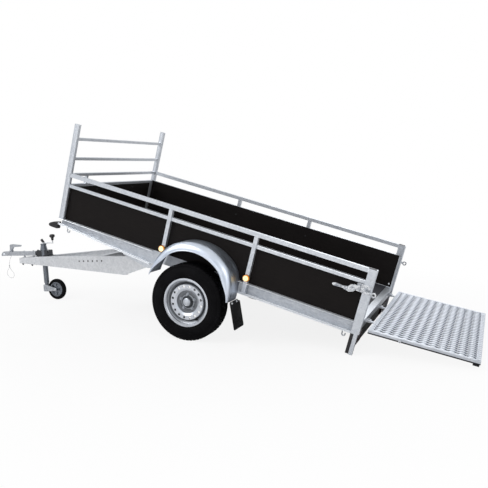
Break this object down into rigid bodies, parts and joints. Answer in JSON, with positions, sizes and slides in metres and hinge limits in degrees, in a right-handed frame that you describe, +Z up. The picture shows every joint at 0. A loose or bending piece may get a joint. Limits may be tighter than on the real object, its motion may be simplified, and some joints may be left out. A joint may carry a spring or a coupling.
{
  "type": "tipping trailer",
  "caption": "Single-axle tipping trailer with hinged drawbar, railed load bed, front rack, rear loading ramp and jockey wheel, shown tipped.",
  "frame": {"origin": "on the ground, under the middle of the overall length and width", "axes": "+X to the trailer's rear, +Y to its right side, +Z up"},
  "size_m": [4.5296, 1.6946, 1.6115],
  "materials": {
    "galvanised": "hot-dip galvanised, satin",
    "plywood": "film-faced plywood, near black, satin",
    "mudguard": "bright galvanised, glossy",
    "tyre": "matt black rubber",
    "rim": "silver paint, satin",
    "rubber": "black rubber",
    "black_plastic": "black plastic",
    "black_metal": "black paint, satin",
    "red_lens": "dark red lens",
    "amber_lens": "amber lens",
    "ramp_plank": "galvanised serrated planks",
    "cable": "steel cable"
  },
  "bodies": {
    "drawbar": {"left_arm": "galvanised", "right_arm": "galvanised", "nose_box": "galvanised", "cross_tube": "galvanised", "pivot_pins": "galvanised", "coupling_head": "galvanised", "jockey_clamp": "black_metal", "breakaway_cable": "cable"},
    "bed": {"floor_board": "plywood", "front_board": "plywood", "left_board": "plywood", "right_board": "plywood", "left_sill": "galvanised", "right_sill": "galvanised", "front_beam": "galvanised", "rear_beam": "galvanised", "floor_bearers": "galvanised", "pivot_brackets": "galvanised", "left_rails": "galvanised", "right_rails": "galvanised", "mid_posts": "galvanised", "rear_posts": "galvanised", "rack_posts": "galvanised", "rack_bars": "galvanised", "axle_beam": "galvanised", "left_mudguard": "mudguard", "right_mudguard": "mudguard", "mud_flaps": "rubber", "light_board": "black_plastic", "tail_lamps": "red_lens", "side_lamps": "amber_lens", "marker_lamps": "rubber", "lashing_hooks": "galvanised", "latch_bases": "galvanised", "hinge_pins": "galvanised"},
    "coupling_handle": {"coupling_handle": "galvanised"},
    "jockey_tube": {"jockey_tube": "galvanised"},
    "jockey_crank": {"jockey_crank": "galvanised", "jockey_knob": "black_plastic"},
    "jockey_leg": {"jockey_leg": "galvanised"},
    "jockey_fork": {"jockey_fork": "galvanised"},
    "jockey_wheel": {"jockey_tyre": "tyre", "jockey_rim": "rim"},
    "left_wheel": {"left_tyre": "tyre", "left_rim": "rim"},
    "right_wheel": {"right_tyre": "tyre", "right_rim": "rim"},
    "ramp": {"ramp_frame": "galvanised", "ramp_deck": "ramp_plank", "ramp_feet": "rubber"},
    "left_latch": {"left_latch": "galvanised"},
    "right_latch": {"right_latch": "galvanised"},
    "left_latch_link": {"left_latch_link": "galvanised"},
    "right_latch_link": {"right_latch_link": "galvanised"}
  },
  "joints": [
    {"name": "bed_tilt", "type": "hinge", "parent": "drawbar", "child": "bed", "pos_m": [-0.13691, 0, 0.52852], "axis": [0, -1, 0], "range_deg": [0, 17.8]},
    {"name": "ramp_hinge", "type": "hinge", "parent": "bed", "child": "ramp", "pos_m": [1.51791, 0, 0.19906], "axis": [0, -1, 0], "range_deg": [0, 86.1]},
    {"name": "left_wheel_spin", "type": "hinge", "parent": "bed", "child": "left_wheel", "pos_m": [0.22528, -0.743, 0.289], "axis": [0, 1, 0], "continuous": true},
    {"name": "right_wheel_spin", "type": "hinge", "parent": "bed", "child": "right_wheel", "pos_m": [0.22528, 0.743, 0.289], "axis": [0, 1, 0], "continuous": true},
    {"name": "left_latch_lever", "type": "hinge", "parent": "bed", "child": "left_latch", "pos_m": [1.48113, -0.705, 0.48079], "axis": [0.2461, 0, 0.9692], "range_deg": [0, 100]},
    {"name": "right_latch_lever", "type": "hinge", "parent": "bed", "child": "right_latch", "pos_m": [1.48113, 0.705, 0.48079], "axis": [-0.2461, 0, -0.9692], "range_deg": [0, 100]},
    {"name": "left_link_swing", "type": "hinge", "parent": "bed", "child": "left_latch_link", "pos_m": [1.5162, -0.723, 0.4564], "axis": [-0.2461, 0, -0.9692], "range_deg": [0, 60]},
    {"name": "right_link_swing", "type": "hinge", "parent": "bed", "child": "right_latch_link", "pos_m": [1.5162, 0.723, 0.4564], "axis": [0.2461, 0, 0.9692], "range_deg": [0, 60]},
    {"name": "coupling_release", "type": "hinge", "parent": "drawbar", "child": "coupling_handle", "pos_m": [-2.14946, 0, 0.44271], "axis": [0, -1, 0], "range_deg": [0, 50]},
    {"name": "jockey_lift", "type": "slide", "parent": "drawbar", "child": "jockey_tube", "axis": [-0.0619, 0, 0.9981], "range_m": [0, 0.134]},
    {"name": "jockey_screw", "type": "slide", "parent": "jockey_tube", "child": "jockey_leg", "axis": [0.0619, 0, -0.9981], "range_m": [0, 0.15]},
    {"name": "jockey_crank_spin", "type": "hinge", "parent": "jockey_tube", "child": "jockey_crank", "pos_m": [-1.72968, -0.022, 0.52387], "axis": [-0.0619, 0, 0.9981], "continuous": true},
    {"name": "jockey_swivel", "type": "hinge", "parent": "jockey_leg", "child": "jockey_fork", "pos_m": [-1.70663, -0.022, 0.15245], "axis": [-0.0619, 0, 0.9981], "continuous": true},
    {"name": "jockey_wheel_spin", "type": "hinge", "parent": "jockey_fork", "child": "jockey_wheel", "pos_m": [-1.58314, -0.022, 0.1], "axis": [0, 1, 0], "continuous": true}
  ]
}
